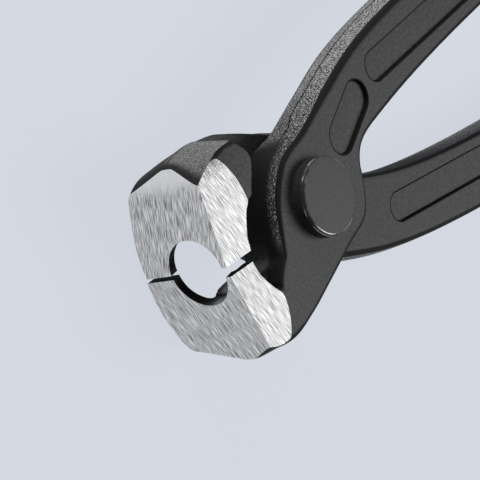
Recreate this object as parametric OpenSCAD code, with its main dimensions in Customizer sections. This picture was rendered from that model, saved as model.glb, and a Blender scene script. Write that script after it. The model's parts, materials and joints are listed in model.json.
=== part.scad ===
// Ear clamp pliers: two forged levers cross in a lap joint on one headed rivet.
// Z is the rivet's axis, +X points out of the jaws, and Z = 0 is the face of the rivet's rear head,
// on which the pliers lie. The front lever is the upper one: its handle is at -Y and its jaw at +Y.

/* [Overall] */
// Length from the front of the jaws to the ends of the handles
overall_len = 220; // [200:1:250]

/* [Joint] */
// Thickness of one lever at the joint
lever_t = 9.4; // [8.8:0.1:10.5]
// Radius of the round recess in which the other lever's disc turns
recess_r = 18.5; // [18.2:0.1:19.2]
// Rounding of the recess's corner
recess_round = 3; // [1:0.1:3.5]
// Radius of the rivet's shank
shank_r = 4.5; // [3.5:0.1:5.5]
// Radius of the rivet's two heads
head_r = 7.4; // [6.5:0.1:8]
// Height of the rivet's front head
head_h = 2.5; // [1.5:0.1:3.5]
// Height of the rivet's rear head, on which the pliers lie
foot_h = 3.3; // [3.3:0.1:4]
// Rounding of the rivet heads' rims
head_round = 0.7; // [0.2:0.1:1]
// Running clearance round the shank in the rear lever
shank_play = 0.05; // [0.02:0.01:0.1]
// Gap between the faces that slide on each other
face_play = 0.1; // [0.05:0.01:0.3]

/* [Jaws] */
// Front of the jaws, from the rivet's axis
jaw_reach = 27.2; // [26.5:0.1:28]
// Thickness of the front jaw's blade at its tip
blade_t = 2.3; // [1.8:0.1:3]
// Backward slope of each ground front face, in degrees
front_slope = 5.3; // [3:0.1:8]
// Ridge of the front lever's head above the jaws' middle line
front_head = 18.9; // [18:0.1:20]
// Ridge of the rear lever's head above the jaws' middle line
rear_head = 20.9; // [19.5:0.1:22]
// Depth of the hollow behind the jaws, from the middle line
hollow_half = 10.1; // [9.5:0.1:10.8]
// Depth to which the front lever's web goes below the lap plane, beside the hollow
web_low = 3.5; // [2.5:0.1:4.5]
// Width of the jaws behind the lap plane
jaw_back = 12.8; // [11.6:0.1:12.8]
// Radius of the round mouth
mouth_r = 6.1; // [5:0.1:6.5]
// Height of the mouth's centre above the lap plane
mouth_z = 0.25; // [-0.2:0.05:0.5]
// Depth of the round mouth, back from the front face
mouth_len = 4.2; // [3.8:0.1:4.6]
// Gap between the front tips
tip_gap = 0.82; // [0.8:0.02:1.5]
// Set-back of the front lever's side tip from the middle line
side_tip_front = 1.24; // [0.8:0.02:1.6]
// Set-back of the rear lever's side tip from the middle line
side_tip_rear = 0.62; // [0.5:0.02:1.6]
// Length of the side jaws, back from the front face
side_len = 5.9; // [4.5:0.1:6.5]
// Height of the edge where the front and side faces meet, above the lap plane
side_edge = 7.5; // [7.2:0.1:8]
// Rise of the ground side faces towards the joint, in degrees
side_slope = 12.3; // [10:0.1:14]

/* [Handles] */
// Width of a handle at its root
handle_root_w = 15.9; // [14.5:0.1:17]
// Width of a handle at its end
handle_end_w = 12.5; // [10:0.1:14]
// Thickness of a handle
handle_t = 8.7; // [7.5:0.1:8.7]
// Crown of the forged rims
rim_crown = 0.7; // [0.4:0.1:1.2]
// Rounding of the edges of the flats
edge_round = 0.9; // [0.6:0.1:1.3]
// Depth of the bare recessed panels
panel_d = 0.7; // [0.3:0.1:1]
// Width of the recessed panels
panel_w = 5.8; // [4:0.1:6.4]

/* [Hidden] */
$fn = 96;

black_steel = [0.13, 0.13, 0.135];
rivet_steel = [0.17, 0.17, 0.175];

// Heights are measured from the lap plane, which lies lap_z above the rivet's rear face
lap_z = foot_h + face_play + lever_t;
lap_face = face_play / 2;
handle_mid = lever_t - handle_t / 2;
// Length by which a cutting tool passes the solid that it cuts
past = 40;
// Height to which a joint is forged past the lap plane, before its lap face is milled
forged_past = 1;
// Height of the head's ridge, and of the parting line beside the joint
head_ridge = 1.6;
disc_ridge = 6.2;
// Direction, from the jaws' middle line, past which the recess is open outwards
recess_open = 51.5;

// Handles: shares of the length from root to end, and the offset of the middle line at each
handle_root_x = -25;
handle_end_x = jaw_reach - overall_len;
handle_at = [0, 0.1, 0.25, 0.45, 0.7, 1];
front_bow = [11.7, 13.8, 15.3, 15.6, 14.8, 13.5];
rear_bow = [15.5, 19.9, 24.5, 27.9, 29.8, 30.2];
// Shares of the handle between which it eases to the lap plane
ease_from = 0.2;
ease_to = 0.8;

// Inner edges of the two levers from the neck round the joint and the hollow to the jaw's blade
front_inner = [
    [-11.8, -15.9], [-7, -14.4], [-2.2, -12.8], [5.6, -10.8], [10.9, -5.7], [13.4, 0],
    [15, 5.2], [17.2, hollow_half], [20.8, hollow_half - 0.2], [23.2, hollow_half - 2.1]
];
rear_inner = [
    [-12.8, -18.8], [-7.6, -15.9], [-2.4, -12.7], [4.6, -10.1], [9.4, -4.8], [12.8, 0.9],
    [14.8, 5.6], [17.2, hollow_half], [20.8, hollow_half - 0.2], [23.2, hollow_half - 2.1]
];
// Outer edges of the two arms from the joint to the corner of the jaw
front_arm = [12.1, 15.1, 17.3, front_head, front_head - 0.7];
rear_arm = [13.2, 17.2, 19.9, rear_head, rear_head - 1.4];
// Back edges of the two heads from the arm to the tip
front_back = [6, 10.5, 11.6, 10.5, jaw_back - 0.5, jaw_back, jaw_back - 0.7];
rear_back = [9.6, 10.5, 10.8, 9, jaw_back - 1.9, jaw_back - 0.8, jaw_back - 0.8];
// Fall of the roof at the front, its rounding there, and the rounding of the shoulder behind it
front_roof = [1.4, 2.6, 2];
rear_roof = [2.8, 2, 1.2];

// Heights of the two levers' flats beside the side jaws
front_flat = lever_t;
rear_flat = lever_t + 0.2;
// Point from which each shoulder falls away at 45 degrees, and the radius of its fall
shoulder_at = [13.2, 13.2];
shoulder_r = 65;
// Outline of the front lever's web, which narrows the hollow
front_web = [
    [11, 4], [12.9, 1.2], [14.2, 2.9], [16.1, 4.6], [18.4, 6.4], [19.8, 7], [20.2, 8], [20, 12], [14, 12]
];
// Outlines of the two side jaws from the shoulder to the tip, measured back from side_len
front_heel = [[2, 15], [2.9, 9.4], [1.9, 8.1], [0.5, 5.7], [-0.3, 3.5], [-0.6, 0]];
rear_heel = [
    [-2.7, 14.5], [0.8, rear_head - 2.6], [2, rear_head - 2.05], [4.1, rear_head - 2.05],
    [7, rear_head - 3], [10, 14], [10, 9], [5.2, 8.8], [4, 8.5], [2.6, 7.2], [1.7, 5.6], [0.5, 3], [0, 0]
];

// Steps between two stations, and segments of each rounded corner
steps = 5;
corner_steps = 4;
// Angles of the rings that round a handle's end
end_angles = [78, 60, 40, 20];

function mix(a, b, t) = a + (b - a) * t;
function ease(t) = let (c = max(0, min(1, t))) c * c * (3 - 2 * c);
function pick(list, i) = list[max(0, min(len(list) - 1, i))];
function curve(p0, p1, p2, p3, t) =
    p1 + 0.5 * t * (p2 - p0 + t * (2 * p0 - 5 * p1 + 4 * p2 - p3 + t * (3 * (p1 - p2) + p3 - p0)));
function smooth(list, n) = [
    for (i = [0 : len(list) - 2], k = [0 : n - 1])
        curve(pick(list, i - 1), list[i], list[i + 1], pick(list, i + 2), k / n),
    list[len(list) - 1]
];

// A station: leading and trailing edge, low and high side, ridge, then the crown and the rounding
// of the trailing edge above and below the ridge, and the share of them that the leading edge has.
// It is flat so that stations can be blended.
function station(lead, trail, low, high, ridge, crown_up, round_up, crown_down, round_down, share) = [
    lead.x, lead.y, trail.x, trail.y, low, high, ridge, crown_up, round_up, crown_down, round_down, share
];

// One section of a blank, with its corners rounded and both edges crowned up to the ridge
function corner(edge, dir, inset, z, r, up, a) = let (
    out = edge + dir * (inset + r * (1 - cos(a)))
) [out.x, out.y, z + up * r * (sin(a) - 1)];
function section(s) = let (
    lead = [s[0], s[1]],
    trail = [s[2], s[3]],
    width = norm(trail - lead),
    dir = (trail - lead) / width,
    crown = min(rim_crown, 0.15 * width) * s[11],
    round = min(edge_round, 0.2 * width) * s[11],
    room = 0.95 * width - crown - round,
    crown_up = min(s[7], 0.4 * room),
    crown_down = min(s[9], 0.4 * room),
    round_up = min(s[8], room - crown_up),
    round_down = min(s[10], room - crown_down),
    low = max(s[4], -min(jaw_back, lap_z)),
    high = min(s[5], lever_t),
    quarter = [for (k = [0 : corner_steps]) 90 * k / corner_steps],
    back = [for (k = [corner_steps : -1 : 0]) 90 * k / corner_steps]
) concat(
    [[lead.x, lead.y, s[6]]],
    [for (a = quarter) corner(lead, dir, crown, high, round, 1, a)],
    [for (a = back) corner(trail, -dir, crown_up, high, round_up, 1, a)],
    [[trail.x, trail.y, s[6]]],
    [for (a = quarter) corner(trail, -dir, crown_down, low, round_down, -1, a)],
    [for (a = back) corner(lead, dir, crown, low, round, -1, a)]
);

module loft(stations) {
    rings = [for (s = stations) section(s)];
    count = len(rings[0]);
    last = len(rings) - 1;
    sides = [
        for (i = [0 : last - 1], j = [0 : count - 1]) let (
            a = i * count + j,
            b = i * count + (j + 1) % count
        ) each [[a, b, b + count], [a, b + count, a + count]]
    ];
    caps = [
        [for (j = [count - 1 : -1 : 0]) j],
        [for (j = [0 : count - 1]) last * count + j]
    ];
    polyhedron(points = [for (ring = rings) each ring], faces = concat(sides, caps), convexity = 8);
}

// A crowned bar from lead to trail, on the given side of the lap plane
function bar(lead, trail, mid, ridge) = let (
    c = min(rim_crown, 0.15 * norm(trail - lead)),
    e = min(edge_round, 0.2 * norm(trail - lead))
) station(lead, trail, mid - handle_t / 2, mid + handle_t / 2, ridge, c, e, c, e, 1);

// Handle along its bow, from the end to the root; side is 1 above the lap plane and -1 below it
function handle_station(side, bow, t, w) = let (
    x = mix(handle_root_x, handle_end_x, t),
    mid = side * mix(handle_mid, 0, ease((t - ease_from) / (ease_to - ease_from)))
) bar([x, -bow - w / 2], [x, -bow + w / 2], mid, mid);
function handle_width(t) = mix(handle_root_w, handle_end_w, ease(t));
round_from = 1 - handle_end_w / 2 / (handle_root_x - handle_end_x);
function handle_stations(side, bow) = [
    for (i = [len(bow) - 1 : -1 : 0]) let (t = min(handle_at[i], round_from))
        handle_station(side, bow[i], t, handle_width(t))
];
// Rings that round the handle's end
function handle_tail(side, bow) = [
    for (a = end_angles) let (t = mix(round_from, 1, sin(a) / sin(end_angles[0])))
        handle_station(side, bow[len(bow) - 1], t, handle_end_w * cos(a))
];

// Neck, joint disc, arm and jaw, from the handle's root to past the jaw's tip
function head_stations(side, inner, arm, back, roof) = let (
    tip = jaw_reach - blade_t,
    front = jaw_reach + 2.2,
    mid = side * handle_mid,
    low = side > 0 ? -forged_past : -lever_t,
    high = side > 0 ? lever_t : forged_past,
    top = side > 0 ? front_flat : lever_t,
    part = side * disc_ridge,
    h = head_ridge,
    c = rim_crown,
    e = edge_round
) [
    bar(inner[0], [-18.1, -2.1], mid, mid),
    bar(inner[1], [-14.9, 0.9], mid, mid),
    station(inner[2], [-13.5, 5.1], side > 0 ? 0.4 : low, side > 0 ? high : -0.4, part, c, e, c, e, 1),
    station(inner[3], [-10.4, 9.9], low, high, part, c, e, c, e, 1),
    station(inner[4], [-3.4, arm[0]], low, high, mid, c, e, c, e, 1),
    station(inner[5], [5.5, arm[1]], -back[0], lever_t, mix(mid, h, 0.5), c, e, c, e, 0.8),
    station(inner[6], [12.5, arm[2]], -back[1], lever_t, h, c, e, 2, 4, 0.4),
    station(inner[7], [19.5, arm[3]], -back[2], top, h, c, roof[2], 2.8, 4.5, 0.4),
    station(inner[8], [25.7, arm[4]], -back[3], top, h, roof[0], roof[1], 2.4, 1.6, 0.4),
    station(inner[9], [front - 0.4, 13], -back[4], top, h, c, e, c, e, 0.4),
    station([tip - 0.4, 4.6], [front, 5.5], -back[5], top, h, c, e, c, e, 0.4),
    station([tip, -1], [front, -1], -back[6], top, h, c, e, c, e, 0.4)
];

// Blank of one lever, with its jaw at +Y: one smooth body from the handle's end to the jaw's tip
module blank(side, bow, inner, arm, back, roof) {
    lever = concat(handle_stations(side, bow), head_stations(side, inner, arm, back, roof));
    loft(concat(handle_tail(side, bow), smooth(lever, steps)));
}

// A bare panel with round ends, sunk in the flat at height z, from one end's centre to the other's
module panel(from, to, w, z) {
    along = to - from;
    translate([from.x, from.y, z - panel_d])
        rotate(atan2(along.y, along.x))
            linear_extrude(past) {
                circle(d = w);
                translate([0, -w / 2]) square([norm(along), w]);
                translate([norm(along), 0]) circle(d = w);
            }
}

// Plate of the side jaw, for a jaw at +Y, between the mouth and the ground side face
module side_jaw(heel, top) {
    rear = jaw_reach - side_len;
    under = mouth_r + mouth_z + 0.3;
    outline = concat(
        [[jaw_reach + 1, 0], [jaw_reach + 1, 12]],
        [for (p = heel) [rear - p.x, p.y]]
    );
    translate([0, 0, under])
        linear_extrude(top - under)
            polygon(outline);
}

// What the head's shoulder falls short of the flat, for a jaw at +Y
module shoulder(top) {
    translate([shoulder_at.x, shoulder_at.y, top - shoulder_r]) rotate(-45)
        difference() {
            translate([-past, 0, 0.8 * shoulder_r]) cube([2 * past, past, past]);
            rotate([0, 90, 0]) cylinder(r = shoulder_r, h = 3 * past, center = true);
        }
}

// Everything that is ground, for a jaw at +Y: front face, side face, mouth and tips
module grinding(side_tip) {
    translate([jaw_reach, 0, 0]) rotate([0, 0, front_slope])
        translate([0, -past, -past]) cube(2 * past);
    translate([jaw_reach, 0, side_edge]) rotate([0, side_slope, 0])
        translate([-side_len * 3, -past, 0]) cube([2 * past, 2 * past, past]);
    translate([jaw_reach - mouth_len, 0, mouth_z]) rotate([0, 90, 0])
        cylinder(r = mouth_r, h = past);
    translate([jaw_reach / 2, tip_gap / 2 - past, -past]) cube([past, past, 2 * past]);
    translate([jaw_reach / 2, side_tip - past, 0]) cube([past, past, past]);
}

// Recess milled from the lap side, in which the other lever turns: round, and open towards the arm
module recess(side) {
    translate([0, 0, side > 0 ? lap_face - past : -lap_face])
        linear_extrude(past) {
            circle(r = recess_r);
            rotate(recess_open) {
                square(past);
                translate([recess_r, -recess_round]) difference() {
                    translate([-1, 0]) square([recess_round + 1, recess_round]);
                    translate([recess_round, 0]) circle(r = recess_round);
                }
            }
        }
}

module front_lever() {
    color(black_steel)
        translate([0, 0, lap_z])
            difference() {
                union() {
                    blank(1, front_bow, front_inner, front_arm, front_back, front_roof);
                    side_jaw(front_heel, front_flat - 0.02);
                    translate([0, 0, -web_low]) linear_extrude(web_low + front_flat - 0.02) polygon(front_web);
                }
                shoulder(front_flat);
                grinding(side_tip_front);
                recess(1);
                cylinder(r = shank_r, h = 2 * past, center = true);
                panel([-12, -6.3], [-20.1, -10.4], panel_w + 0.8, lever_t);
                panel([-28.5, -12.9], [-70, -14.6], panel_w, lever_t);
            }
}

module rear_lever() {
    color(black_steel)
        translate([0, 0, lap_z])
            mirror([0, 1, 0])
                difference() {
                    union() {
                        blank(-1, rear_bow, rear_inner, rear_arm, rear_back, rear_roof);
                        side_jaw(rear_heel, rear_flat);
                    }
                    shoulder(rear_flat);
                    grinding(side_tip_rear);
                    recess(-1);
                    cylinder(r = shank_r + shank_play, h = 2 * past, center = true);
                    panel([-31.2, -17], [-72, -23.7], panel_w, handle_t - lever_t);
                }
}

module joint_rivet() {
    rear = -lap_z;
    front = lever_t + head_h;
    color(rivet_steel)
        translate([0, 0, lap_z])
            rotate_extrude()
                polygon(concat(
                    [[0, rear]], rim(rear, 1), [[head_r, rear + foot_h], [shank_r, rear + foot_h]],
                    [[shank_r, lever_t], [head_r, lever_t]], rim(front, -1), [[0, front]]
                ));
}
// Rounded rim of a rivet head, in the order of its outline
function rim(face, into) = [
    for (k = [0 : 6]) let (a = into > 0 ? 15 * k : 90 - 15 * k)
        [head_r - head_round * (1 - sin(a)), face + into * head_round * (1 - cos(a))]
];

front_lever();
rear_lever();
joint_rivet();
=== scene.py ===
import json
import math

import bmesh
import bpy
import numpy as np
from mathutils import Matrix, Vector

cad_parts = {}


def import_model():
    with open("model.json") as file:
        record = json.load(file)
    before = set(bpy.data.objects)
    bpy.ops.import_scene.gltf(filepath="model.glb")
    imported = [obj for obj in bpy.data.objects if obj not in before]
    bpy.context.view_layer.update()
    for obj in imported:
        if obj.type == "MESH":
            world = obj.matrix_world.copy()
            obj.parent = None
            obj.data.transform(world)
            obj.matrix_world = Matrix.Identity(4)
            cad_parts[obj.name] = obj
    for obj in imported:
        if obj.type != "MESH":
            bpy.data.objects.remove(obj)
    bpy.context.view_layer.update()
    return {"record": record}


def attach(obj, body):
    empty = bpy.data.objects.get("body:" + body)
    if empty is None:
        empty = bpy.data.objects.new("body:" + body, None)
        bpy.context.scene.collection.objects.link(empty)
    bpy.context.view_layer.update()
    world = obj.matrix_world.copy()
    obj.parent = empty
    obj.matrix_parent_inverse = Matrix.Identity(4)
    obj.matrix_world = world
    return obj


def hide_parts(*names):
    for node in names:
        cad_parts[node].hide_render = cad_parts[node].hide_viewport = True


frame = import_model()

# Sizes that the CAD part has too, in millimetres. Heights are measured from the lap plane.
MM = 0.001
OVERALL_LEN = 220.0
LEVER_T = 9.4
RECESS_R = 18.5
RECESS_ROUND = 3.0
RECESS_OPEN = math.radians(51.5)
SHANK_R = 4.5
SHANK_PLAY = 0.05
HEAD_R = 7.4
HEAD_H = 2.5
HEAD_ROUND = 0.7
FOOT_H = 3.3
FACE_PLAY = 0.1
JAW_REACH = 27.2
JAW_BACK = 12.8
BLADE_T = 2.3
FRONT_SLOPE = math.radians(5.3)
FRONT_HEAD = 18.9
REAR_HEAD = 20.9
REAR_PROUD = 0.2
HOLLOW_HALF = 10.1
MOUTH_R = 6.1
MOUTH_Z = 0.25
MOUTH_LEN = 4.2
TIP_GAP = 0.82
SIDE_TIP = {"front_lever": 1.24, "rear_lever": 0.62}
SIDE_LEN = 5.9
SIDE_EDGE = 7.5
SIDE_SLOPE = math.radians(12.3)
HANDLE_ROOT_X = -25.0
HANDLE_ROOT_W = 15.9
HANDLE_END_W = 12.5
HANDLE_T = 8.7
HANDLE_AT = (0, 0.1, 0.25, 0.45, 0.7, 1)
EASE_FROM = 0.2
EASE_TO = 0.8
RIM_CROWN = 0.7
HEAD_RIDGE = 1.6
DISC_RIDGE = 6.2
SHOULDER_AT = (13.2, 13.2)
SHOULDER_R = 65.0
SHOULDER_TURN = math.radians(-45)
PANEL_D = 0.7
PANEL_W = 5.8
SMALL_PANEL_W = 6.6
FLUSH = 0.02

# Outer edge of the neck, its gap from the lap plane, and where the arm's outer edge has stations
NECK = ((-18.1, -2.1), (-14.9, 0.9), (-13.5, 5.1), (-10.4, 9.9))
NECK_GAP = 0.4
ARM_X = (-3.4, 5.5, 12.5, 19.5, 25.7)
# Crown and rounding under the arm and the jaw, and the share of both on their inner edges
UNDER = ((2, 4), (2.8, 4.5), (2.4, 1.6))
ARM_SHARE = 0.8
JAW_SHARE = 0.4

# Sizes that only this scene has
EDGE_ROUND = 1.25
# Share of the crown and rounding that a handle's inner edge has, by side
INNER_SHARE = {1: 1.0, -1: 0.5}
RIDGE_BLUNT = 0.1
ROOF_BLUNT = 1.0
FRONT_BLUNT = 1.6
MOUTH_LEAN = 0.15
RECESS_WIDER = 0.7
WEB_LOW = 2.0
WEB_STEP = 6.8
WEB_OVERLAP = 2.0
WEB_EDGE = ((11, 4), (12.3, 1.5), (13.5, 3.5), (15.6, 5.1))
UPPER_WEB = (*WEB_EDGE, (18, 7.6), (18.4, 9.4), (18.4, 12), (14, 12))
LOWER_WEB = (
    *WEB_EDGE, (18.9, 5.3), (19.8, 5.25), (20.8, 5.35), (21.8, 5.5), (22.5, 5.7), (23, 6.1),
    (24.6, 6.2), (24.6, 12), (14, 12),
)
# Height of each ring of a panel's cutter, and how much wider its radius is than the panel's
PANEL_RINGS = ((-PANEL_D, -0.1), (0, 0), (1, 0.15))

# Largest shares of a section's width for the crown, the rounding and both edges together
CROWN_MOST = 0.15
ROUND_MOST = 0.2
ROOM_SHARE = 0.95
# Largest share of the room beside the leading edge that the trailing edge's crown takes
CROWN_ROOM = 0.4

# The plate of a side jaw: how far its front end reaches across, and its clearance from the mouth
PLATE_ACROSS = 12.0
PLATE_CLEAR = 0.3

# The forging's parting line: where it climbs to the disc, and where it is left out at the joint
PARTING_RISE = (-7.0, -2.2)
PARTING_GAP = (6.0, 13.5)

# Overshoot of long cutters, of blanks and short cutters, and of the jaw past its ground front
PAST = 40.0
SHORT_PAST = 1.0
FRONT_PAST = 2.2

LAP_Z = FOOT_H + FACE_PLAY + LEVER_T
LAP_FACE = FACE_PLAY / 2
HANDLE_MID = LEVER_T - HANDLE_T / 2
HANDLE_END_X = JAW_REACH - OVERALL_LEN
SIDE_CUT_LEN = 3 * SIDE_LEN

# Fineness of curves and of the forged skin
STEPS = 8
CORNER_STEPS = 8
QUARTER_STEPS = 12
SHOULDER_STEPS = 40
PANEL_STEPS = 48
BORE_SEGMENTS = 96
ROUND_SEGMENTS = 128
RECESS_SEGMENTS = 192
END_ANGLES = (84, 72, 60, 48, 36, 24, 12)
SKIN = 0.4
SKIN_SOFT = 0.5
SKIN_SMOOTH = 4
SHARP_ANGLE = math.radians(40)
# A face is ground if its normal and its distance agree with a ground plane this closely
GROUND_COS = 0.9999
GROUND_NEAR = 0.01

LEVERS = {
    "front_lever": {
        "side": 1,
        "bow": (11.7, 13.8, 15.3, 15.6, 14.8, 13.5),
        "root_wider": 0,
        "inner": (
            (-11.8, -15.9), (-7, -14.4), (-2.2, -12.8), (5.6, -10.8), (10.9, -5.7), (13.4, 0),
            (15, 5.2), (17.2, HOLLOW_HALF), (20.8, HOLLOW_HALF - 0.2), (23.2, HOLLOW_HALF - 2.1),
        ),
        "arm": (12.1, 15.1, 17.3, FRONT_HEAD, FRONT_HEAD - 0.7),
        "back": (6, 10.5, 11.6, 10.5, JAW_BACK - 0.5, JAW_BACK, JAW_BACK - 0.7),
        "roof": ((RIM_CROWN, 2), (1.4, 2.6)),
        "flat": LEVER_T,
        "heel": ((2, 15), (2.9, 9.4), (1.9, 8.1), (0.5, 5.7), (-0.3, 3.5), (-0.6, 0)),
        "heel_top": LEVER_T - FLUSH,
        "webs": (
            (UPPER_WEB, WEB_STEP - WEB_OVERLAP, LEVER_T - FLUSH),
            (LOWER_WEB, -WEB_LOW, WEB_STEP),
        ),
        "recess": RECESS_R + RECESS_WIDER,
        "bore": SHANK_R,
        "panels": (
            ((-12, -6.3), (-20.1, -10.4), SMALL_PANEL_W, LEVER_T),
            ((-28.5, -12.9), (-70, -14.6), PANEL_W, LEVER_T),
        ),
    },
    "rear_lever": {
        "side": -1,
        "bow": (15.5, 19.9, 24.5, 27.9, 29.8, 30.2),
        "root_wider": 1,
        "inner": (
            (-12.8, -18.8), (-7.6, -15.9), (-2.4, -12.7), (4.6, -10.1), (9.4, -4.8), (12.8, 0.9),
            (14.8, 5.6), (17.2, HOLLOW_HALF), (20.8, HOLLOW_HALF - 0.2), (23.2, HOLLOW_HALF - 2.1),
        ),
        "arm": (13.2, 17.2, 19.9, REAR_HEAD, REAR_HEAD - 1.4),
        "back": (9.6, 10.5, 10.8, 9, JAW_BACK - 1.9, JAW_BACK - 0.8, JAW_BACK - 0.8),
        "roof": ((1.5, 1.2), (2.8, 2)),
        "flat": LEVER_T + REAR_PROUD,
        "heel": (
            (-2.7, 14.5), (0.8, REAR_HEAD - 2.6), (2, REAR_HEAD - 2.05), (4.1, REAR_HEAD - 2.05),
            (7, REAR_HEAD - 3), (10, 14), (10, 9), (5.2, 8.8), (4, 8.5), (2.6, 7.2), (1.7, 5.6),
            (0.5, 3), (0, 0),
        ),
        "heel_top": LEVER_T + REAR_PROUD,
        "webs": (),
        "recess": RECESS_R,
        "bore": SHANK_R + SHANK_PLAY,
        "panels": (((-31.2, -17), (-72, -23.7), PANEL_W, HANDLE_T - LEVER_T),),
    },
}


# Curves and sections

def mix(a, b, t):
    return a + (b - a) * t


def ease(t):
    c = max(0.0, min(1.0, t))
    return c * c * (3 - 2 * c)


def quarter_turn(steps):
    return [math.pi / 2 * k / steps for k in range(steps + 1)]


def smooth(points, n):
    """The points, with n steps between neighbours on a curve through all of them."""
    p = [np.array(v, float) for v in points]
    out = []
    for i in range(len(p) - 1):
        p0, p1, p2, p3 = p[max(i - 1, 0)], p[i], p[i + 1], p[min(i + 2, len(p) - 1)]
        for k in range(n):
            t = k / n
            bend = 2 * p0 - 5 * p1 + 4 * p2 - p3 + t * (3 * (p1 - p2) + p3 - p0)
            out.append(p1 + 0.5 * t * (p2 - p0 + t * bend))
    return out + [p[-1]]


def station(lead, trail, low, high, ridge, above, below, share, blunt=RIDGE_BLUNT):
    """A place along a lever; above and below are the trailing edge's crown and rounding."""
    return [*lead, *trail, low, high, ridge, *above, *below, share, blunt]


def edge_sizes(width):
    """Crown and rounding of an edge, smaller where the section is narrow."""
    return min(RIM_CROWN, CROWN_MOST * width), min(EDGE_ROUND, ROUND_MOST * width)


def section(s):
    """One ring of a blank: rounded corners, and both edges crowned up to the ridge."""
    lead, trail = np.array(s[0:2]), np.array(s[2:4])
    low, high, ridge, crown_up, round_up, crown_down, round_down, share, blunt = s[4:]
    width = np.linalg.norm(trail - lead)
    along = (trail - lead) / width
    crown, rounding = [share * size for size in edge_sizes(width)]
    room = ROOM_SHARE * width - crown - rounding
    crown_up, crown_down = min(crown_up, CROWN_ROOM * room), min(crown_down, CROWN_ROOM * room)
    round_up, round_down = min(round_up, room - crown_up), min(round_down, room - crown_down)
    low, high = max(low, -JAW_BACK), min(high, LEVER_T)
    quarter = quarter_turn(CORNER_STEPS)

    def corner(edge, to, inset, z, r, up, angles):
        ring = []
        for a in angles:
            out = edge + to * (inset + r * (1 - math.cos(a)))
            ring.append((out[0], out[1], z + up * r * (math.sin(a) - 1)))
        return ring

    return (
        [(lead[0], lead[1], ridge)]
        + corner(lead, along, crown, high, rounding, 1, quarter)
        + corner(trail, -along, crown_up, high, round_up, 1, quarter[::-1])
        + [(trail[0], trail[1], ridge + blunt), (trail[0], trail[1], ridge - blunt / 2)]
        + corner(trail, -along, crown_down, low, round_down, -1, quarter)
        + corner(lead, along, crown, low, rounding, -1, quarter[::-1])
    )


def bar(lead, trail, mid, side):
    """A station of a handle, with its ridge at its middle."""
    edge = [INNER_SHARE[side] * size for size in edge_sizes(math.dist(lead, trail))]
    return station(lead, trail, mid - HANDLE_T / 2, mid + HANDLE_T / 2, mid, edge, edge, 1)


def handle_mid(x, side):
    """Height of a handle's middle at x."""
    t = (x - HANDLE_ROOT_X) / (HANDLE_END_X - HANDLE_ROOT_X)
    return side * mix(HANDLE_MID, 0, ease((t - EASE_FROM) / (EASE_TO - EASE_FROM)))


def handle_rings(side, bow, root_wider):
    """Rings of the handle's rounded end, then stations from there to its root."""
    def at(offset, t, width, wider=0):
        x = mix(HANDLE_ROOT_X, HANDLE_END_X, t)
        return bar((x, -offset - width / 2), (x, -offset + width / 2 + wider), handle_mid(x, side), side)

    round_from = 1 - HANDLE_END_W / 2 / (HANDLE_ROOT_X - HANDLE_END_X)
    reach = math.sin(math.radians(END_ANGLES[0]))
    tail = []
    for angle in END_ANGLES:
        a = math.radians(angle)
        tail.append(at(bow[-1], mix(round_from, 1, math.sin(a) / reach), HANDLE_END_W * math.cos(a)))
    stations = []
    for share, offset in reversed(list(zip(HANDLE_AT, bow))):
        t = min(share, round_from)
        wider = root_wider if share == 0 else 0
        stations.append(at(offset, t, mix(HANDLE_ROOT_W, HANDLE_END_W, ease(t)), wider))
    return tail, stations


def head_stations(side, inner, arm, back, roof):
    """Neck, joint disc, arm and jaw, from the handle's root to past the jaw's tip."""
    tip, front = JAW_REACH - BLADE_T, JAW_REACH + FRONT_PAST
    mid, part = side * HANDLE_MID, side * DISC_RIDGE
    low = -SHORT_PAST if side > 0 else -LEVER_T
    high = LEVER_T if side > 0 else SHORT_PAST
    neck_low, neck_high = (NECK_GAP, high) if side > 0 else (low, -NECK_GAP)
    ridge, top = HEAD_RIDGE, LEVER_T
    edge = (RIM_CROWN, EDGE_ROUND)
    outer = list(zip(ARM_X, arm))
    return [
        bar(inner[0], NECK[0], mid, side),
        bar(inner[1], NECK[1], mid, side),
        station(inner[2], NECK[2], neck_low, neck_high, part, edge, edge, 1),
        station(inner[3], NECK[3], low, high, part, edge, edge, 1),
        station(inner[4], outer[0], low, high, mid, edge, edge, 1),
        station(inner[5], outer[1], -back[0], top, mix(mid, ridge, 0.5), edge, edge, ARM_SHARE),
        station(inner[6], outer[2], -back[1], top, ridge, edge, UNDER[0], JAW_SHARE),
        station(inner[7], outer[3], -back[2], top, ridge, roof[0], UNDER[1], JAW_SHARE, ROOF_BLUNT),
        station(inner[8], outer[4], -back[3], top, ridge, roof[1], UNDER[2], JAW_SHARE, FRONT_BLUNT),
        station(inner[9], (front - 0.4, 13), -back[4], top, ridge, edge, edge, JAW_SHARE, FRONT_BLUNT),
        station((tip - 0.4, 4.6), (front, 5.5), -back[5], top, ridge, edge, edge, JAW_SHARE),
        station((tip, -1), (front, -1), -back[6], top, ridge, edge, edge, JAW_SHARE),
    ]


# Meshes, in millimetres

def new_object(name, points, faces):
    mesh = bpy.data.meshes.new(name)
    mesh.from_pydata([tuple(map(float, p)) for p in points], [], faces)
    obj = bpy.data.objects.new(name, mesh)
    bpy.context.scene.collection.objects.link(obj)
    bm = bmesh.new()
    bm.from_mesh(mesh)
    bmesh.ops.recalc_face_normals(bm, faces=bm.faces)
    bm.to_mesh(mesh)
    bm.free()
    return obj


def loft(name, rings):
    """A closed skin over rings that all have the same number of points."""
    count = len(rings[0])
    faces = [list(range(count))[::-1]]
    for i in range(len(rings) - 1):
        for j in range(count):
            a, b = i * count + j, i * count + (j + 1) % count
            faces.append([a, b, b + count, a + count])
    last = (len(rings) - 1) * count
    faces.append([last + j for j in range(count)])
    return new_object(name, [p for ring in rings for p in ring], faces)


def prism(name, outline, low, high):
    return loft(name, [[(*p, low) for p in outline], [(*p, high) for p in outline]])


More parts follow.
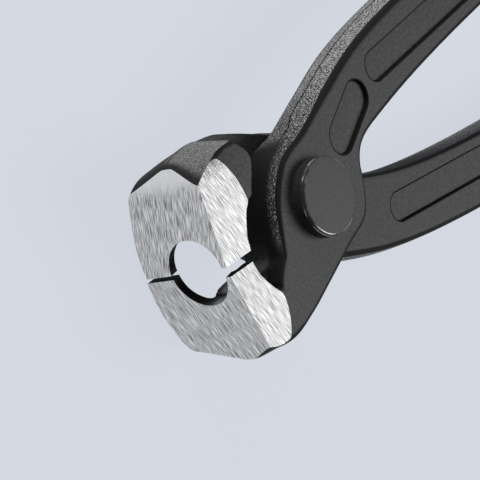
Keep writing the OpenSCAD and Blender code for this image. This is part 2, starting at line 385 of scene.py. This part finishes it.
def circle(radius, segments, centre=(0, 0)):
    turns = [2 * math.pi * k / segments for k in range(segments)]
    return [(centre[0] + radius * math.cos(a), centre[1] + radius * math.sin(a)) for a in turns]


def box(name, low, high):
    (x0, y0, z0), (x1, y1, z1) = low, high
    return prism(name, [(x0, y0), (x1, y0), (x1, y1), (x0, y1)], z0, z1)


def moved(obj, matrix):
    obj.data.transform(matrix)
    return obj


def evaluated(obj):
    """Puts the object's modifiers into its mesh."""
    graph = bpy.context.evaluated_depsgraph_get()
    mesh = bpy.data.meshes.new_from_object(obj.evaluated_get(graph))
    obj.modifiers.clear()
    old, obj.data = obj.data, mesh
    bpy.data.meshes.remove(old)


def combined(obj, others, operation):
    """Adds the others to the object, or cuts them from it, and deletes them."""
    for other in others:
        step = obj.modifiers.new("step", "BOOLEAN")
        step.operation = operation
        step.solver = "MANIFOLD"
        step.object = other
        evaluated(obj)
        bpy.data.objects.remove(other)


def forged(obj):
    """Gives the sharp blank the soft skin of a forging."""
    skin = obj.modifiers.new("skin", "REMESH")
    skin.mode = "VOXEL"
    skin.voxel_size = SKIN
    soft = obj.modifiers.new("soft", "SMOOTH")
    soft.factor = SKIN_SOFT
    soft.iterations = SKIN_SMOOTH
    evaluated(obj)


def panel(start, end, width, z):
    """Cutter of a sunk panel with round ends and sloping walls."""
    start, end = np.array(start, float), np.array(end, float)
    turn = math.atan2(*(end - start)[::-1])
    rings = []
    for height, wider in PANEL_RINGS:
        r = width / 2 + wider
        ring = []
        for centre, first in ((start, turn + math.pi / 2), (end, turn - math.pi / 2)):
            for k in range(PANEL_STEPS + 1):
                a = first + math.pi * k / PANEL_STEPS
                ring.append((*(centre + r * np.array((math.cos(a), math.sin(a)))), z + height))
        rings.append(ring)
    return loft("panel", rings)


def side_jaw(heel, top):
    """Plate that carries the side face, from the tip back to the heel."""
    rear = JAW_REACH - SIDE_LEN
    outline = [(JAW_REACH + SHORT_PAST, 0), (JAW_REACH + SHORT_PAST, PLATE_ACROSS)]
    outline += [(rear - back, y) for back, y in heel]
    return prism("side_jaw", outline, MOUTH_R + MOUTH_Z + PLATE_CLEAR, top)


def shoulder(top):
    """Cutter of what the head's shoulder falls short of the flat."""
    outline = []
    for k in range(SHOULDER_STEPS + 1):
        y = PAST * k / SHOULDER_STEPS
        outline.append((y, math.sqrt(SHOULDER_R ** 2 - y ** 2) - SHOULDER_R))
    outline += [(PAST, PAST), (0, PAST)]
    across = Matrix(((0, 0, 1, 0), (1, 0, 0, 0), (0, 1, 0, 0), (0, 0, 0, 1)))
    turn = Matrix.Translation((*SHOULDER_AT, top)) @ Matrix.Rotation(SHOULDER_TURN, 4, "Z")
    return moved(prism("shoulder", outline, -PAST, PAST), turn @ across)


def grinding(side_tip):
    """Cutters of everything that is ground, for a jaw at +Y."""
    front = moved(
        box("front", (0, -PAST, -PAST), (PAST, PAST, PAST)),
        Matrix.Translation((JAW_REACH, 0, 0)) @ Matrix.Rotation(FRONT_SLOPE, 4, "Z"),
    )
    side = moved(
        box("side", (-SIDE_CUT_LEN, -PAST, 0), (PAST, PAST, PAST)),
        Matrix.Translation((JAW_REACH, 0, SIDE_EDGE)) @ Matrix.Rotation(SIDE_SLOPE, 4, "Y"),
    )
    rings = []
    for x in (-MOUTH_LEN, SHORT_PAST):
        ring = circle(MOUTH_R, ROUND_SEGMENTS, (TIP_GAP / 2, MOUTH_Z + MOUTH_LEAN * x))
        rings.append([(JAW_REACH + x, y, z) for y, z in ring])
    mouth = loft("mouth", rings)
    half = JAW_REACH / 2
    tips = box("tips", (half, -PAST, -PAST), (half + PAST, TIP_GAP / 2, PAST))
    side_tips = box("side_tips", (half, -PAST, 0), (half + PAST, side_tip, PAST))
    return [front, side, mouth, tips, side_tips]


def recess(side, radius):
    """Cutters of the round recess in which the other lever's disc turns."""
    low, high = (LAP_FACE - PAST, LAP_FACE) if side > 0 else (-LAP_FACE, PAST - LAP_FACE)
    disc = prism("recess", circle(radius, RECESS_SEGMENTS), low, high)
    r = RECESS_ROUND
    within = radius - SHORT_PAST
    outline = [(within, -r), (radius, -r)]
    for a in quarter_turn(QUARTER_STEPS)[1:]:
        outline.append((radius + r - r * math.cos(a), -r + r * math.sin(a)))
    outline += [(PAST, 0), (PAST, PAST), (0, PAST), (0, 0), (within, 0)]
    way = moved(prism("way", outline, low, high), Matrix.Rotation(RECESS_OPEN, 4, "Z"))
    return [disc, way]


def lever(name, spec):
    """One forging, made as a jaw at +Y and mirrored for the rear lever."""
    side = spec["side"]
    tail, handle = handle_rings(side, spec["bow"], spec["root_wider"])
    head = head_stations(side, spec["inner"], spec["arm"], spec["back"], spec["roof"])
    obj = loft(name + "_skin", [section(s) for s in tail + smooth(handle + head, STEPS)])
    plates = [side_jaw(spec["heel"], spec["heel_top"])]
    plates += [prism("web", *web) for web in spec["webs"]]
    combined(obj, plates, "UNION")
    combined(obj, [shoulder(spec["flat"])], "DIFFERENCE")
    forged(obj)
    bore = prism("bore", circle(spec["bore"], BORE_SEGMENTS), -PAST, PAST)
    cuts = recess(side, spec["recess"]) + [bore] + grinding(SIDE_TIP[name])
    cuts += [panel(*p) for p in spec["panels"]]
    combined(obj, cuts, "DIFFERENCE")
    mark_ground(obj)
    mark_parting(obj, side)
    if side < 0:
        mirrored(obj)
    return placed(obj, name)


def mark_ground(obj):
    """Gives the front and side ground faces their own materials, and makes every real edge sharp."""
    planes = [
        (Vector((JAW_REACH, 0, 0)), Vector((math.cos(FRONT_SLOPE), math.sin(FRONT_SLOPE), 0))),
        (Vector((JAW_REACH, 0, SIDE_EDGE)), Vector((math.sin(SIDE_SLOPE), 0, math.cos(SIDE_SLOPE)))),
    ]
    mesh = obj.data
    for face in mesh.polygons:
        face.use_smooth = True
        for index, (at, normal) in enumerate(planes):
            near = abs((face.center - at).dot(normal)) < GROUND_NEAR
            if near and face.normal.dot(normal) > GROUND_COS:
                face.material_index = 1 + index
    mesh.set_sharp_from_angle(angle=SHARP_ANGLE)
    sharp = mesh.attributes.get("sharp_edge") or mesh.attributes.new("sharp_edge", "BOOLEAN", "EDGE")
    used = {}
    for face in mesh.polygons:
        for key in face.edge_keys:
            used.setdefault(key, set()).add(face.material_index)
    for edge in mesh.edges:
        if len(used[edge.key]) > 1:
            sharp.data[edge.index].value = True


def mark_parting(obj, side):
    """Keeps each point's height above the forging's parting line, in millimetres."""
    layer = obj.data.attributes.new("parting", "FLOAT", "POINT")
    rise_from, rise_to = PARTING_RISE
    gap_from, gap_to = PARTING_GAP
    for point, value in zip(obj.data.vertices, layer.data):
        x, _, z = point.co
        rise = ease((x - rise_from) / (rise_to - rise_from)) * (DISC_RIDGE - HANDLE_MID)
        line = handle_mid(x, side) + side * rise if x < gap_from else HEAD_RIDGE
        value.value = PAST if gap_from <= x <= gap_to else z - line


def mirrored(obj):
    obj.data.transform(Matrix.Diagonal((1, -1, 1, 1)))
    obj.data.flip_normals()


def placed(obj, node):
    """Scales a piece from millimetres to the row frame and lets it stand for a CAD node."""
    obj.data.transform(Matrix.Scale(MM, 4) @ Matrix.Translation((0, 0, LAP_Z)))
    body = next(b for b, nodes in frame["record"]["behaviour"]["bodies"].items() if node in nodes)
    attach(obj, body)
    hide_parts(node)
    return obj


def rivet():
    """A shank with a round head at each end, turned about Z."""
    rear, front = -LAP_Z, LEVER_T + HEAD_H
    rim = []
    for a in quarter_turn(QUARTER_STEPS):
        rim.append((HEAD_R - HEAD_ROUND * (1 - math.sin(a)), HEAD_ROUND * (1 - math.cos(a))))
    profile = [(r, rear + up) for r, up in rim]
    profile += [(HEAD_R, rear + FOOT_H), (SHANK_R, rear + FOOT_H), (SHANK_R, LEVER_T), (HEAD_R, LEVER_T)]
    profile += [(r, front - up) for r, up in rim[::-1]]
    obj = loft("joint_rivet_skin", [[(x, y, z) for x, y in circle(r, ROUND_SEGMENTS)] for r, z in profile])
    for face in obj.data.polygons:
        face.use_smooth = True
    obj.data.set_sharp_from_angle(angle=SHARP_ANGLE)
    return placed(obj, "joint_rivet")


# Looks of the forging: spans in millimetres along X
# Along the handles' inner rims the speckle darkens towards the joint as painted shade
INNER_SHADE_END = (-75, -35)
# Sparser light specks towards the joint are painted shade
SPARSE_FROM = (-20, 4)
DISC_FROM = (-13, -7)
RIM_END = (-3, 3.5)
JAW_FROM = (12, 15.5)
# From here towards the mouth the hollow's speckle grows lighter as painted light
MOUTH_FROM = (17.5, 20.5)
BLADE_FROM = (23.2, 25)

# Spans in millimetres above the lap plane, and on both sides of it for the joint's wall. Between the
# hollow's spans the speckle is painted light; below the roof's and the wall's spans it gives way to painted
# shade
HOLLOW_LOW = (-3.5, 1)
HOLLOW_HIGH = (5, 6.8)
ROOF_LOW = (-1, 2.5)
WALL_LOW = (6.4, 8.6)

# How much light speckle each of these shows, from the span's start to its end: the inner rims' fall is
# painted shade, the mouth's rise is painted light, the roof wears less towards the blade, and the roof's
# low end is painted shade
INNER_SHADE = (1.0, 0.1)
MOUTH_LIGHT = (0.4, 0.9)
BLADE_WORN = (1.0, 0.2)
ROOF_SHADE = (0.1, 0.9)

# The upright part of a normal, below which a face is a rim, and above which it is a flat
STEEP_HANDLE = 0.22
STEEP_DISC = 0.45
STEEP_JAW = 0.62
STEEP_WIDTH = 0.1
FLAT_TILT = (0.965, 0.999)
# The sideways part of a normal over which a face turns from the outer side to the inner one
INNER_TURN = 0.3

# Shades; the speckle's are for the handles and for the jaws. The edge shade is painted dark: a dark
# reflection on the rounded edges, and shade on walls that are no rims
FLAT_SHADES = (0.026, 0.066)
EDGE_PAINTED_DARK = 0.011
# The line shade draws the parting line, and the painted shade round the panels' lips
LINE_SHADE = 0.006
SPECK_DARK = (0.045, 0.2)
SPECK_LIGHT = (0.8, 0.52)
# How much sparser the light specks are on the disc, where they are painted shade near the joint, and on the
# jaws
SPARSE_DISC = 0.1
SPARSE_JAW = 0.03
# Roughness, and how metallic the bare mouth is at most
FLAT_MATT = 0.5
EDGE_MATT = 0.8
LINE_MATT = 0.9
BARE_MATT = 0.4
BARE_MOST = 0.75

# Noises as scale and detail, and the part of each that is used
FLAT_MOTTLE = (1800.0, 4.0)
SPECK_GRAIN = (4000.0, 2.0)
SKIN_GRAIN = (2400.0, 3.0)
STROKE_NOISE = (1.0, 4.0)
FADE_GRAIN = (3000.0, 3.0)
RIVET_MOTTLE = (1300.0, 4.0)
RIVET_PATCHES = (300.0, 2.0)
MOTTLE_RANGE = (0.3, 0.7)
SPECK_RANGE = (0.38, 0.62)
STROKE_RANGE = (0.41, 0.59)
FADED_RANGE = (0.34, 0.66)
FADE_RANGE = (0.2, 0.8)
PATCH_RANGE = (0.4, 0.55)

# Half the width of each drawn line in millimetres, where it starts to fade and where it ends
PARTING_LINE = (0.10, 0.22)
# The panel lip's line is painted shade round the sunk panels
PANEL_LIP_SHADE = (0.16, 0.32)
WORN_AND_HIGHLIGHT_LINE = (0.06, 0.2)

# Bumps of the skin and of the brush strokes: strength, and depth in metres
FLAT_BUMP = 0.12
RIM_BUMP = 0.5
SKIN_DEPTH = 0.0002
STROKE_BUMP = 0.35
STROKE_DEPTH = 0.00006

# Ground faces: length and width of a brush stroke in metres, and green's share of the warmth
STROKE_LEN = 0.003
STROKE_W = 0.0001
WARM_GREEN = 0.4

# The rivet: its worn line inside the rim and its painted highlight line down from the face, in millimetres,
# and its looks
WORN_IN = 0.4
HIGHLIGHT_DOWN = 0.45
RIVET_SHADES = (0.034, 0.048)
RIVET_MATT = 0.45
WORN_AND_HIGHLIGHT_SHADE = 0.4
WORN_AND_HIGHLIGHT_MATT = 0.18
PATCH_LEAST = 0.1

BLACK_STEEL = {"Specular IOR Level": 0.3}
GROUND_STEEL = {"Roughness": 0.36, "Metallic": 1.0, "Specular IOR Level": 0.5}


# Materials

def wire(tree, kind, inputs=(), **settings):
    """A shader node with its settings; each input is linked from a socket or given a value."""
    node = tree.nodes.new("ShaderNode" + kind)
    for key, value in settings.items():
        setattr(node, key, value)
    for key, value in dict(inputs).items():
        if isinstance(value, bpy.types.NodeSocket):
            tree.links.new(value, node.inputs[key])
        else:
            node.inputs[key].default_value = value
    return node


def ramp(tree, value, start, end, low, high):
    """Goes smoothly from low to high while the value goes from start to end."""
    sockets = {"Value": value, "From Min": start, "From Max": end, "To Min": low, "To Max": high}
    return wire(tree, "MapRange", sockets, interpolation_type="SMOOTHSTEP").outputs["Result"]


def span(tree, value, ends, low, high):
    """As ramp, for a value in metres and ends in millimetres."""
    return ramp(tree, value, ends[0] * MM, ends[1] * MM, low, high)


def blend(tree, share, low, high):
    return ramp(tree, share, 0.0, 1.0, low, high)


def math_node(tree, operation, a, b=0.0):
    return wire(tree, "Math", {0: a, 1: b}, operation=operation).outputs[0]


def times(tree, a, b):
    return math_node(tree, "MULTIPLY", a, b)


def away(tree, value, at):
    """How far the value is from another."""
    return math_node(tree, "ABSOLUTE", math_node(tree, "SUBTRACT", value, at))


def parts_of(tree, vector):
    return wire(tree, "SeparateXYZ", {0: vector}).outputs


def in_plan(tree, coords):
    """The coordinates with no height."""
    return wire(tree, "VectorMath", {0: coords, 1: (1, 1, 0)}, operation="MULTIPLY").outputs[0]


def noise(tree, vector, scale, detail):
    return wire(tree, "TexNoise", {"Vector": vector, "Scale": scale, "Detail": detail}).outputs[0]


def steel(name, values):
    """A new material with these values, its node tree and shader, and its object coordinates."""
    mat = bpy.data.materials.new(name)
    mat.use_nodes = True
    shader = mat.node_tree.nodes["Principled BSDF"]
    for key, value in values.items():
        shader.inputs[key].default_value = value
    coords = wire(mat.node_tree, "TexCoord").outputs["Object"]
    return mat, mat.node_tree, shader, coords


def linked(tree, shader, sockets):
    for key, value in sockets.items():
        tree.links.new(value, shader.inputs[key])


def bumped(tree, shader, height, strength, distance):
    sockets = {"Height": height, "Strength": strength, "Distance": distance}
    linked(tree, shader, {"Normal": wire(tree, "Bump", sockets).outputs[0]})


def outline_of(tree, coords, start, end, width):
    """Distance from the outline of a sunk panel with round ends, in metres."""
    a, b = Vector((*start, 0)) * MM, Vector((*end, 0)) * MM
    reach = wire(tree, "VectorMath", {0: in_plan(tree, coords), 1: a}, operation="SUBTRACT").outputs[0]
    way = wire(tree, "VectorMath", {0: reach, 1: (b - a) / (b - a).length_squared}, operation="DOT_PRODUCT")
    share = wire(tree, "Clamp", {"Value": way.outputs["Value"]}).outputs[0]
    foot = wire(tree, "VectorMath", {0: b - a, "Scale": share}, operation="SCALE").outputs[0]
    off = wire(tree, "VectorMath", {0: reach, 1: foot}, operation="DISTANCE").outputs["Value"]
    return away(tree, off, width / 2 * MM)


def rim_speckle_share(tree, x, rise, within, jaw, hollow_light):
    """How much of the rims' light speckle shows: on the handles, with painted shade on their inner rims
    towards the joint; on the joint's wall, with painted shade near the lap plane; on the roof, with painted
    shade near the lap plane and less wear towards the blade; and in the hollow, as painted light.
    """
    # Painted shade: the roof is darker near the lap plane
    roof = times(tree, within, span(tree, rise, ROOF_LOW, *ROOF_SHADE))
    roof = times(tree, roof, span(tree, x, BLADE_FROM, *BLADE_WORN))
    # Painted light on the rims that face into the hollow
    roof = blend(tree, within, hollow_light, roof)
    # Painted shade: the joint's wall is dark near the lap plane
    wall = span(tree, math_node(tree, "ABSOLUTE", rise), WALL_LOW, 0.0, 1.0)
    # Painted shade: the handles' inner rims darken towards the joint
    handle = blend(tree, within, 1.0, span(tree, x, INNER_SHADE_END, *INNER_SHADE))
    handle = span(tree, x, RIM_END, handle, wall)
    return blend(tree, jaw, handle, roof)


def dark_lines(tree, coords, rim, spec):
    """The parting line along the rims, and painted shade round the lips of the sunk panels."""
    height = wire(tree, "Attribute", attribute_name="parting").outputs["Fac"]
    line = ramp(tree, math_node(tree, "ABSOLUTE", height), *PARTING_LINE, 1.0, 0.0)
    line = times(tree, line, rim)
    for start, end, width, _ in spec["panels"]:
        ends = [(x, y * spec["side"]) for x, y in (start, end)]
        # Painted shade round each panel's lip
        lip_shade = span(tree, outline_of(tree, coords, *ends, width), PANEL_LIP_SHADE, 1.0, 0.0)
        line = math_node(tree, "MAXIMUM", line, lip_shade)
    return line


def forged_steel(name, spec):
    """Black scale on the flats, a lighter speckle on the rims and a dark parting line; painted dark on
    rounded edges and walls, painted shade round the panel lips and on parts of the rims, and painted light
    in the hollow.
    """
    mat, tree, shader, coords = steel(name, BLACK_STEEL)
    facing = parts_of(tree, wire(tree, "TexCoord").outputs["Normal"])
    tilt = math_node(tree, "ABSOLUTE", facing["Z"])
    place = parts_of(tree, coords)
    x = place["X"]
    rise = math_node(tree, "SUBTRACT", place["Z"], LAP_Z * MM)
    jaw = span(tree, x, JAW_FROM, 0.0, 1.0)
    # The side that is within on the handles is the outer one on the jaws
    turn = INNER_TURN * spec["side"]
    within = ramp(tree, facing["Y"], -turn, turn, 0.0, 1.0)

    # The hollow's walls, and the mouth's, which are bare; their lighter speckle is painted light
    hollow_light = span(tree, rise, HOLLOW_HIGH, span(tree, x, MOUTH_FROM, *MOUTH_LIGHT), 0.0)
    hollow_light = span(tree, rise, HOLLOW_LOW, 0.0, hollow_light)
    bare = blend(tree, within, ramp(tree, hollow_light, *MOUTH_LIGHT, 0.0, BARE_MOST), 0.0)

    steep = blend(tree, jaw, span(tree, x, DISC_FROM, STEEP_HANDLE, STEEP_DISC), STEEP_JAW)
    rim = ramp(tree, tilt, steep, math_node(tree, "ADD", steep, STEEP_WIDTH), 1.0, 0.0)
    # The rims' speckle carries painted shade and painted light in places
    rim = times(tree, rim, rim_speckle_share(tree, x, rise, within, jaw, hollow_light))

    flat = ramp(tree, noise(tree, coords, *FLAT_MOTTLE), *MOTTLE_RANGE, *FLAT_SHADES)
    # Rounded edges and walls that are no rims are painted dark, standing in for a dark reflection and for
    # shade
    flat = ramp(tree, tilt, *FLAT_TILT, EDGE_PAINTED_DARK, flat)
    # Fewer light specks near the joint, as painted shade
    sparse = blend(tree, jaw, span(tree, x, SPARSE_FROM, 0.0, SPARSE_DISC), SPARSE_JAW)
    grain = math_node(tree, "SUBTRACT", noise(tree, coords, *SPECK_GRAIN), sparse)
    dark, light = blend(tree, jaw, *SPECK_DARK), blend(tree, jaw, *SPECK_LIGHT)
    base = blend(tree, rim, flat, ramp(tree, grain, *SPECK_RANGE, dark, light))
    line = dark_lines(tree, coords, rim, spec)
    matt = blend(tree, line, ramp(tree, tilt, *FLAT_TILT, EDGE_MATT, FLAT_MATT), LINE_MATT)
    linked(tree, shader, {
        "Base Color": blend(tree, line, base, LINE_SHADE),
        "Roughness": blend(tree, bare, matt, BARE_MATT),
        "Metallic": bare,
    })
    bump = blend(tree, rim, FLAT_BUMP, RIM_BUMP)
    bumped(tree, shader, noise(tree, coords, *SKIN_GRAIN), bump, SKIN_DEPTH)
    return mat


def ground_steel(name, axis, turn, shades, warmth, fade=None):
    """Brushed steel; the strokes run along Y, turned about the axis, and may fade to other shades."""
    mat, tree, shader, coords = steel(name, GROUND_STEEL)
    rotation, scale = {
        "X": ((math.radians(turn), 0, 0), (1, STROKE_LEN, STROKE_W)),
        "Z": ((0, 0, math.radians(turn)), (STROKE_W, STROKE_LEN, 1)),
    }[axis]
    sockets = {"Vector": coords, "Rotation": rotation, "Scale": scale}
    strokes = wire(tree, "Mapping", sockets, vector_type="TEXTURE").outputs[0]
    stroke = noise(tree, strokes, *STROKE_NOISE)
    base = ramp(tree, stroke, *STROKE_RANGE, *shades)
    if fade:
        rough = fade["rough"] * MM
        grain = ramp(tree, noise(tree, coords, *FADE_GRAIN), *FADE_RANGE, -rough, rough)
        across = math_node(tree, "ADD", parts_of(tree, coords)["Y"], grain)
        base = span(tree, across, fade["span"], base, ramp(tree, stroke, *FADED_RANGE, *fade["shades"]))
    tint = [times(tree, base, share) for share in (1.0, 1 - WARM_GREEN * warmth, 1 - warmth)]
    linked(tree, shader, {"Base Color": wire(tree, "CombineColor", dict(enumerate(tint))).outputs[0]})
    bumped(tree, shader, stroke, STROKE_BUMP, STROKE_DEPTH)
    return mat


def head_steel():
    """The rivet: dark, with a bare worn line inside the rim of each head's face and a painted highlight
    line down its rounding.
    """
    mat, tree, shader, coords = steel("rivet_steel", BLACK_STEEL)
    face = ramp(tree, noise(tree, coords, *RIVET_MOTTLE), *MOTTLE_RANGE, *RIVET_SHADES)
    radius = wire(tree, "VectorMath", {0: in_plan(tree, coords)}, operation="LENGTH").outputs["Value"]
    inside = away(tree, radius, (HEAD_R - WORN_IN) * MM)
    middle = (LAP_Z + LEVER_T + HEAD_H) / 2
    from_middle = away(tree, parts_of(tree, coords)["Z"], middle * MM)
    # Painted highlight: a light line down the rounding from each face
    down = away(tree, from_middle, (middle - HIGHLIGHT_DOWN) * MM)
    worn_and_highlight = span(tree, math_node(tree, "MINIMUM", inside, down), WORN_AND_HIGHLIGHT_LINE, 1.0, 0.0)
    patches = ramp(tree, noise(tree, coords, *RIVET_PATCHES), *PATCH_RANGE, PATCH_LEAST, 1.0)
    worn_and_highlight = times(tree, worn_and_highlight, patches)
    linked(tree, shader, {
        "Base Color": blend(tree, worn_and_highlight, face, WORN_AND_HIGHLIGHT_SHADE),
        "Roughness": blend(tree, worn_and_highlight, RIVET_MATT, WORN_AND_HIGHLIGHT_MATT),
        "Metallic": worn_and_highlight,
    })
    bumped(tree, shader, noise(tree, coords, *SKIN_GRAIN), FLAT_BUMP, SKIN_DEPTH)
    return mat


# The four ground faces, with the turn of the strokes in degrees; the upper jaw is the rear lever's.
# A fade goes along Y, over a span in millimetres with a rough border; the top fade of the upper front face
# is a painted highlight.
TOP_HIGHLIGHT = {"span": (-14.5, -18), "rough": 0.6, "shades": (0.9, 1.0)}
SPECKLE_FADE = {"span": (-14.8, -19.5), "rough": 2, "shades": (0.08, 0.34)}
FRONT_WARMTH = 0.09
GROUND = {
    "front_lever": (
        ground_steel("front_ground_lower", "X", 12, (0.26, 1.0), FRONT_WARMTH),
        ground_steel("side_ground_lower", "Z", 14, (0.26, 0.7), 0.0),
    ),
    "rear_lever": (
        ground_steel("front_ground_upper", "X", -16, (0.26, 1.0), FRONT_WARMTH, TOP_HIGHLIGHT),
        ground_steel("side_ground_upper", "Z", 14, (0.3, 0.8), 0.0, SPECKLE_FADE),
    ),
}
BLACK = {
    "front_lever": forged_steel("black_steel", LEVERS["front_lever"]),
    "rear_lever": forged_steel("black_steel_rear", LEVERS["rear_lever"]),
}
rivet_black = head_steel()

for lever_name, lever_spec in LEVERS.items():
    made = lever(lever_name, lever_spec)
    for index, mat in enumerate((BLACK[lever_name], *GROUND[lever_name])):
        if index < len(made.data.materials):
            made.data.materials[index] = mat
        else:
            made.data.materials.append(mat)
pin = rivet()
pin.data.materials.append(rivet_black)

# Floor, camera and lights, in metres and degrees

PALE = (0.645, 0.680, 0.752)
FLOOR_GLOW = 0.94
FLOOR_DIFFUSE = 0.10
FLOOR_HALF = 6.0
FLOOR_DROP = 0.0002
CAMERA_AT = (0.33189, -0.13416, 0.32447)
CAMERA_TURN = (8.982, -47.301, 144.960)
LENS = 195.0
SENSOR_W = 36
WORLD_COLOUR = (0.9, 0.93, 1, 1)
WORLD_GLOW = 0.15
LIGHT_AWAY = 1.0
# Direction, size and power of each light
LIGHTS = {
    "key": ((-0.55, 0.42, 0.72), (0.7, 0.6), 5),
    "strip": ((0.64, -0.75, 0.12), (0.5, 0.06), 0.4),
    "fill": ((-0.15, -0.96, 0.22), (0.5, 0.3), 4),
}


def floor():
    """A pale floor, which glows for what is seen in it and still takes the shadow."""
    mesh = bpy.data.meshes.new("floor")
    half = FLOOR_HALF
    corners = [(-half, -half, 0), (half, -half, 0), (half, half, 0), (-half, half, 0)]
    mesh.from_pydata(corners, [], [[0, 1, 2, 3]])
    obj = bpy.data.objects.new("floor", mesh)
    bpy.context.scene.collection.objects.link(obj)
    obj.location.z = -FLOOR_DROP
    mat = bpy.data.materials.new("floor")
    mat.use_nodes = True
    tree = mat.node_tree
    tree.nodes.remove(tree.nodes["Principled BSDF"])
    path = wire(tree, "LightPath").outputs
    seen = math_node(tree, "MAXIMUM", path["Is Camera Ray"], path["Is Glossy Ray"])
    seen = math_node(tree, "MAXIMUM", seen, path["Is Transmission Ray"])
    strength = times(tree, seen, FLOOR_GLOW)
    glow = wire(tree, "Emission", {"Color": (*PALE, 1), "Strength": strength}).outputs[0]
    matt = wire(tree, "BsdfDiffuse", {"Color": (FLOOR_DIFFUSE,) * 3 + (1,)}).outputs[0]
    both = wire(tree, "AddShader", {0: glow, 1: matt}).outputs[0]
    tree.links.new(both, tree.nodes["Material Output"].inputs["Surface"])
    mesh.materials.append(mat)


def camera():
    data = bpy.data.cameras.new("camera")
    data.sensor_width = SENSOR_W
    data.lens = LENS
    obj = bpy.data.objects.new("camera", data)
    obj.location = CAMERA_AT
    obj.rotation_euler = [math.radians(a) for a in CAMERA_TURN]
    bpy.context.scene.collection.objects.link(obj)
    bpy.context.scene.camera = obj


def softbox(name, direction, size, power):
    """A flat light that looks at the origin."""
    data = bpy.data.lights.new(name, "AREA")
    data.shape = "RECTANGLE"
    data.size, data.size_y = size
    data.energy = power
    obj = bpy.data.objects.new(name, data)
    aim = Vector(direction).normalized()
    obj.location = aim * LIGHT_AWAY
    obj.rotation_euler = aim.to_track_quat("Z", "Y").to_euler()
    bpy.context.scene.collection.objects.link(obj)


def world():
    scene = bpy.context.scene
    scene.world = scene.world or bpy.data.worlds.new("world")
    scene.world.use_nodes = True
    background = scene.world.node_tree.nodes["Background"]
    background.inputs["Color"].default_value = WORLD_COLOUR
    background.inputs["Strength"].default_value = WORLD_GLOW


floor()
camera()
world()
for light_name, light in LIGHTS.items():
    softbox(light_name, *light)
bpy.context.scene.view_settings.view_transform = "Standard"
